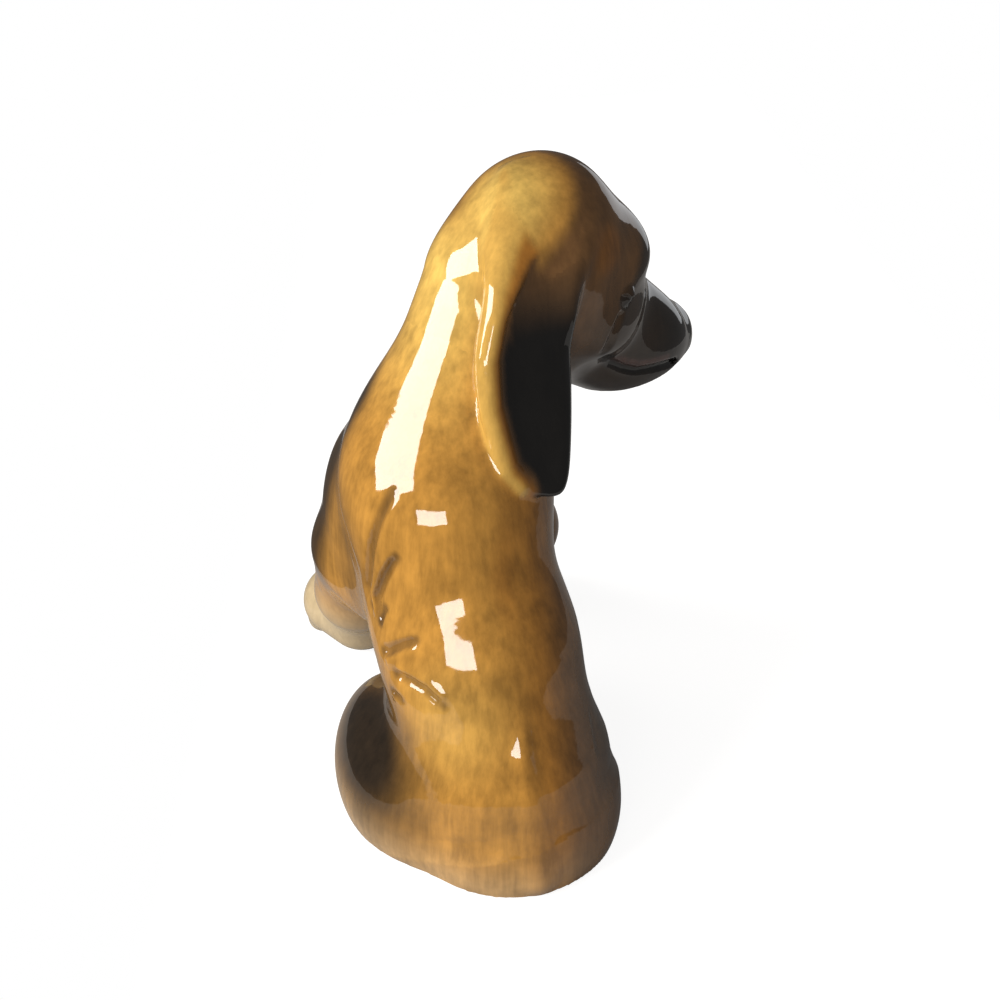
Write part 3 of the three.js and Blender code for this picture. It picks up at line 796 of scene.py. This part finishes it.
def painted(p, n, mass):
    x, y, z = p.T
    stem = np.minimum(mass["body"], mass["head"])
    colour = np.tile(glaze["gold"], (len(p), 1))
    colour = paintedBody(colour, p, n, mass, stem)
    colour = paintedHead(colour, p, mass)
    for name in ("right", "left"):
        colour = paintedEar(colour, p, mass, stem, name)
    # the foot ring and the vent were wiped clean of glaze
    bare = coat["bare"]
    under = smoothStep(-n[:, 2], *bare["facing"]) * (z < bare["height"])
    vent = trunk["vent"]
    fromVent = np.hypot(x - vent["middle"][0], y - vent["middle"][1])
    inVent = (z < vent["depth"] + bare["ventOver"]) * (fromVent < vent["diameter"] * bare["ventShare"])
    return lay(colour, "bisque", np.maximum(under, inVent))


# Materials

def sockets(node, **values):
    for name, value in values.items():
        node.inputs[name].default_value = value


def glazeMaterial(name, look):
    material = bpy.data.materials.new(name)
    material.use_nodes = True
    nodes = material.node_tree.nodes
    links = material.node_tree.links
    shader = nodes["Principled BSDF"]
    paint = nodes.new("ShaderNodeVertexColor")
    paint.layer_name = "glaze"
    where = nodes.new("ShaderNodeTexCoord")
    stretch = nodes.new("ShaderNodeMapping")   # brush strokes run down the piece
    stretch.inputs["Scale"].default_value = look["strokeScale"]
    links.new(where.outputs["Object"], stretch.inputs["Vector"])
    strokes = nodes.new("ShaderNodeTexNoise")
    sockets(strokes, Scale=1.0, Detail=4.0, Roughness=0.6)
    links.new(stretch.outputs["Vector"], strokes.inputs["Vector"])
    pools = nodes.new("ShaderNodeTexNoise")    # where the colour ran thick or thin
    sockets(pools, Scale=look["poolScale"], Detail=3.0, Roughness=0.55)
    links.new(where.outputs["Object"], pools.inputs["Vector"])
    tone = nodes.new("ShaderNodeMath")
    tone.operation = "ADD"
    links.new(strokes.outputs["Fac"], tone.inputs[0])
    links.new(pools.outputs["Fac"], tone.inputs[1])
    spread = nodes.new("ShaderNodeMapRange")
    sockets(spread, **{"From Min": 0.7, "From Max": 1.3,
                       "To Min": 1 - look["contrast"], "To Max": 1 + look["contrast"]})
    links.new(tone.outputs["Value"], spread.inputs["Value"])
    shade = nodes.new("ShaderNodeVectorMath")
    shade.operation = "SCALE"
    links.new(paint.outputs["Color"], shade.inputs[0])
    links.new(spread.outputs["Result"], shade.inputs["Scale"])
    links.new(shade.outputs["Vector"], shader.inputs["Base Color"])
    ripple = nodes.new("ShaderNodeTexNoise")   # the glaze lies in faint ripples
    sockets(ripple, Scale=look["rippleScale"], Detail=2.0, Roughness=0.5)
    links.new(where.outputs["Object"], ripple.inputs["Vector"])
    bump = nodes.new("ShaderNodeBump")
    sockets(bump, Strength=look["ripple"], Distance=0.0004)
    links.new(ripple.outputs["Fac"], bump.inputs["Height"])
    links.new(bump.outputs["Normal"], shader.inputs["Normal"])
    sockets(shader, Roughness=look["roughness"], IOR=1.8)
    return material


glazes = {
    "tan_glaze": glazeMaterial("tanGlaze", dict(
        strokeScale=(640, 640, 60), poolScale=150, contrast=0.3,
        rippleScale=260, ripple=0.10, roughness=0.05)),
    "brown_glaze": glazeMaterial("brownGlaze", dict(
        strokeScale=(640, 640, 90), poolScale=160, contrast=0.26,
        rippleScale=280, ripple=0.10, roughness=0.05)),
    "dark_glaze": glazeMaterial("darkGlaze", dict(
        strokeScale=(1000, 1000, 200), poolScale=180, contrast=0.16,
        rippleScale=280, ripple=0.12, roughness=0.05)),
    "pale_glaze": glazeMaterial("paleGlaze", dict(
        strokeScale=(900, 900, 220), poolScale=150, contrast=0.14,
        rippleScale=260, ripple=0.10, roughness=0.05)),
}
pieceSlot = dict(
    body_casting="tan_glaze", head_casting="brown_glaze", right_ear="dark_glaze", left_ear="dark_glaze",
    right_foreleg="pale_glaze", left_foreleg="pale_glaze",
    right_hind_foot="pale_glaze", left_hind_foot="pale_glaze",
)

# One object for each casting, closed where it was luted to its neighbour

colours = painted(points, normals, castings(points))
print("glaze painted")


def openLoops(quads):
    # the rings of edges that only one face uses, each in order
    edges = np.concatenate([quads[:, [i, (i + 1) % 4]] for i in range(4)])
    used = {(a, b) for a, b in edges.tolist()}
    follow = {}
    for a, b in used:
        if (b, a) not in used:
            follow.setdefault(b, []).append(a)
    loops = []
    while follow:
        start = next(iter(follow))
        loop = [start]
        while loop[-1] in follow:
            nextOnes = follow[loop[-1]]
            spot = nextOnes.pop()
            if not nextOnes:
                del follow[loop[-1]]
            if spot == start:
                break
            loop.append(spot)
        if len(loop) > 2:
            loops.append(loop)
    return loops


luting = dict(depth=0.5, rings=5, steps=3)  # the hidden luting faces keep this far under the skin


def sunk(p):
    for step in range(luting["steps"]):
        over = np.maximum(figureField(p) + luting["depth"], 0)
        p = p - slopeAt(p) * over[:, None]
    return p


def castingObject(name, index):
    quads = faces[facePiece == index]
    keep, inverse = np.unique(quads, return_inverse=True)
    quads = inverse.reshape(-1, 4)
    place = points[keep]
    normal = normals[keep]
    colour = colours[keep]
    polygons = quads.tolist()
    for loop in openLoops(quads):
        edge = place[loop]
        outer = loop
        for share in np.arange(1, luting["rings"]) / luting["rings"]:
            ring = sunk(edge * (1 - share) + edge.mean(0) * share)
            inner = list(range(len(place), len(place) + len(ring)))
            polygons += list(zip(outer, outer[1:] + outer[:1], inner[1:] + inner[:1], inner))
            place = np.vstack([place, ring])
            outer = inner
        place = np.vstack([place, sunk(edge.mean(0)[None])])
        polygons += [(a, b, len(place) - 1) for a, b in zip(outer, outer[1:] + outer[:1])]
    hidden = len(place) - len(normal)
    normal = np.vstack([normal, np.tile(upright, (hidden, 1))])
    colour = np.vstack([colour, np.tile(glaze["bisque"], (hidden, 1))])
    mesh = bpy.data.meshes.new(name + "_skin")
    mesh.from_pydata((place + figureShift) * millimetre, [], polygons)
    mesh.polygons.foreach_set("use_smooth", np.ones(len(mesh.polygons), bool))
    layer = mesh.color_attributes.new("glaze", "FLOAT_COLOR", "POINT")
    withAlpha = np.column_stack([colour, np.ones(len(colour))]).astype(np.float32)
    layer.data.foreach_set("color", withAlpha.ravel())
    mesh.normals_split_custom_set_from_vertices(normal.tolist())
    mesh.materials.append(glazes[pieceSlot[name]])
    piece = bpy.data.objects.new(name + "_glazed", mesh)
    bpy.context.scene.collection.objects.link(piece)
    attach(piece, "root")
    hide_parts(name)
    return piece


for index, name in enumerate(pieceOrder):
    piece = castingObject(name, index)
    print(f"{name}: {len(piece.data.polygons)} faces")

# Stage: a white floor that keeps the shadow

# The table's left edge slants close past the figurine, so that the flank mirrors the dark room.
table = dict(
    corners=[(-0.098, -0.115), (0.145, -0.115), (0.145, 0.3), (0.0, 0.3), (-0.055, 0.06)],
    paper=(0.38, 0.37, 0.36, 1), shadowLift=0.86,
)


def floorMaterial():
    material = bpy.data.materials.new("whiteTable")
    material.use_nodes = True
    nodes = material.node_tree.nodes
    links = material.node_tree.links
    nodes.remove(nodes["Principled BSDF"])
    path = nodes.new("ShaderNodeLightPath")
    paper = nodes.new("ShaderNodeBsdfDiffuse")
    sockets(paper, Color=table["paper"])
    shine = nodes.new("ShaderNodeEmission")
    sockets(shine, Color=(1, 1, 1, 1))
    lift = nodes.new("ShaderNodeMath")
    lift.operation = "MULTIPLY"
    lift.inputs[1].default_value = table["shadowLift"]
    links.new(path.outputs["Is Camera Ray"], lift.inputs[0])
    links.new(lift.outputs["Value"], shine.inputs["Strength"])
    both = nodes.new("ShaderNodeAddShader")
    links.new(paper.outputs["BSDF"], both.inputs[0])
    links.new(shine.outputs["Emission"], both.inputs[1])
    links.new(both.outputs["Shader"], nodes["Material Output"].inputs["Surface"])
    return material


def makeFloor():
    mesh = bpy.data.meshes.new("table")
    mesh.from_pydata([(x, y, 0) for x, y in table["corners"]], [], [tuple(range(len(table["corners"])))])
    mesh.materials.append(floorMaterial())
    floor = bpy.data.objects.new("table", mesh)
    bpy.context.scene.collection.objects.link(floor)


makeFloor()

# Light: a wide window to the left, a low one behind the camera, a faint far one, and a dim room

lamps = [
    dict(name="window", azimuth=-82.5, elevation=27, roll=35, distance=0.9, width=0.76, height=0.47,
         power=9.6, colour=(1, 0.985, 0.96)),
    dict(name="lowWindow", azimuth=-30, elevation=9, roll=10, distance=0.9, width=0.5, height=0.2,
         power=2.4, colour=(1, 0.985, 0.96)),
    dict(name="farWindow", azimuth=140, elevation=-7, roll=0, distance=1.1, width=0.46, height=0.46,
         power=0.5, colour=(0.95, 0.97, 1)),
]
room = dict(lit=0.32, mirrored=0.08, seen=1.0)
aimAt = np.array([0, 5, 62]) + figureShift


def towards(azimuth, elevation):
    a, e = math.radians(azimuth), math.radians(elevation)
    return Vector((math.sin(a) * math.cos(e), -math.cos(a) * math.cos(e), math.sin(e)))


for lamp in lamps:
    data = bpy.data.lights.new(lamp["name"], "AREA")
    data.shape = "RECTANGLE"
    data.size = lamp["width"]
    data.size_y = lamp["height"]
    data.energy = lamp["power"]
    data.color = lamp["colour"]
    holder = bpy.data.objects.new(lamp["name"], data)
    away = towards(lamp["azimuth"], lamp["elevation"])
    holder.location = Vector(aimAt * millimetre) + away * lamp["distance"]
    holder.rotation_mode = "QUATERNION"
    roll = Quaternion((0, 0, 1), math.radians(lamp["roll"]))
    holder.rotation_quaternion = away.to_track_quat("Z", "Y") @ roll
    bpy.context.scene.collection.objects.link(holder)

world = bpy.data.worlds.new("room")
world.use_nodes = True
bpy.context.scene.world = world
roomNodes = world.node_tree.nodes
roomLinks = world.node_tree.links
background = roomNodes["Background"]
roomPath = roomNodes.new("ShaderNodeLightPath")
roomDim = roomNodes.new("ShaderNodeMapRange")    # mirrored, the room is dark
sockets(roomDim, **{"To Min": room["lit"], "To Max": room["mirrored"]})
roomLinks.new(roomPath.outputs["Is Glossy Ray"], roomDim.inputs["Value"])
roomLevel = roomNodes.new("ShaderNodeMapRange")  # seen straight, it is white
sockets(roomLevel, **{"To Max": room["seen"]})
roomLinks.new(roomDim.outputs["Result"], roomLevel.inputs["To Min"])
roomLinks.new(roomPath.outputs["Is Camera Ray"], roomLevel.inputs["Value"])
roomLinks.new(roomLevel.outputs["Result"], background.inputs["Strength"])
background.inputs["Color"].default_value = (1, 1, 1, 1)
print("stage and light set")

# Camera at the photograph's angle, for a square frame

view = dict(azimuth=-12, elevation=37, distance=320, across=32.2)
camera = bpy.data.cameras.new("camera")
camera.sensor_width = 36
camera.lens = camera.sensor_width / 2 / math.tan(math.radians(view["across"] / 2))
camera.clip_start = 0.01
holder = bpy.data.objects.new("camera", camera)
back = towards(view["azimuth"], view["elevation"])
holder.location = Vector(aimAt * millimetre) + back * view["distance"] * millimetre
holder.rotation_mode = "QUATERNION"
holder.rotation_quaternion = back.to_track_quat("Z", "Y")
bpy.context.scene.collection.objects.link(holder)
bpy.context.scene.camera = holder
bpy.context.scene.view_settings.view_transform = "Standard"
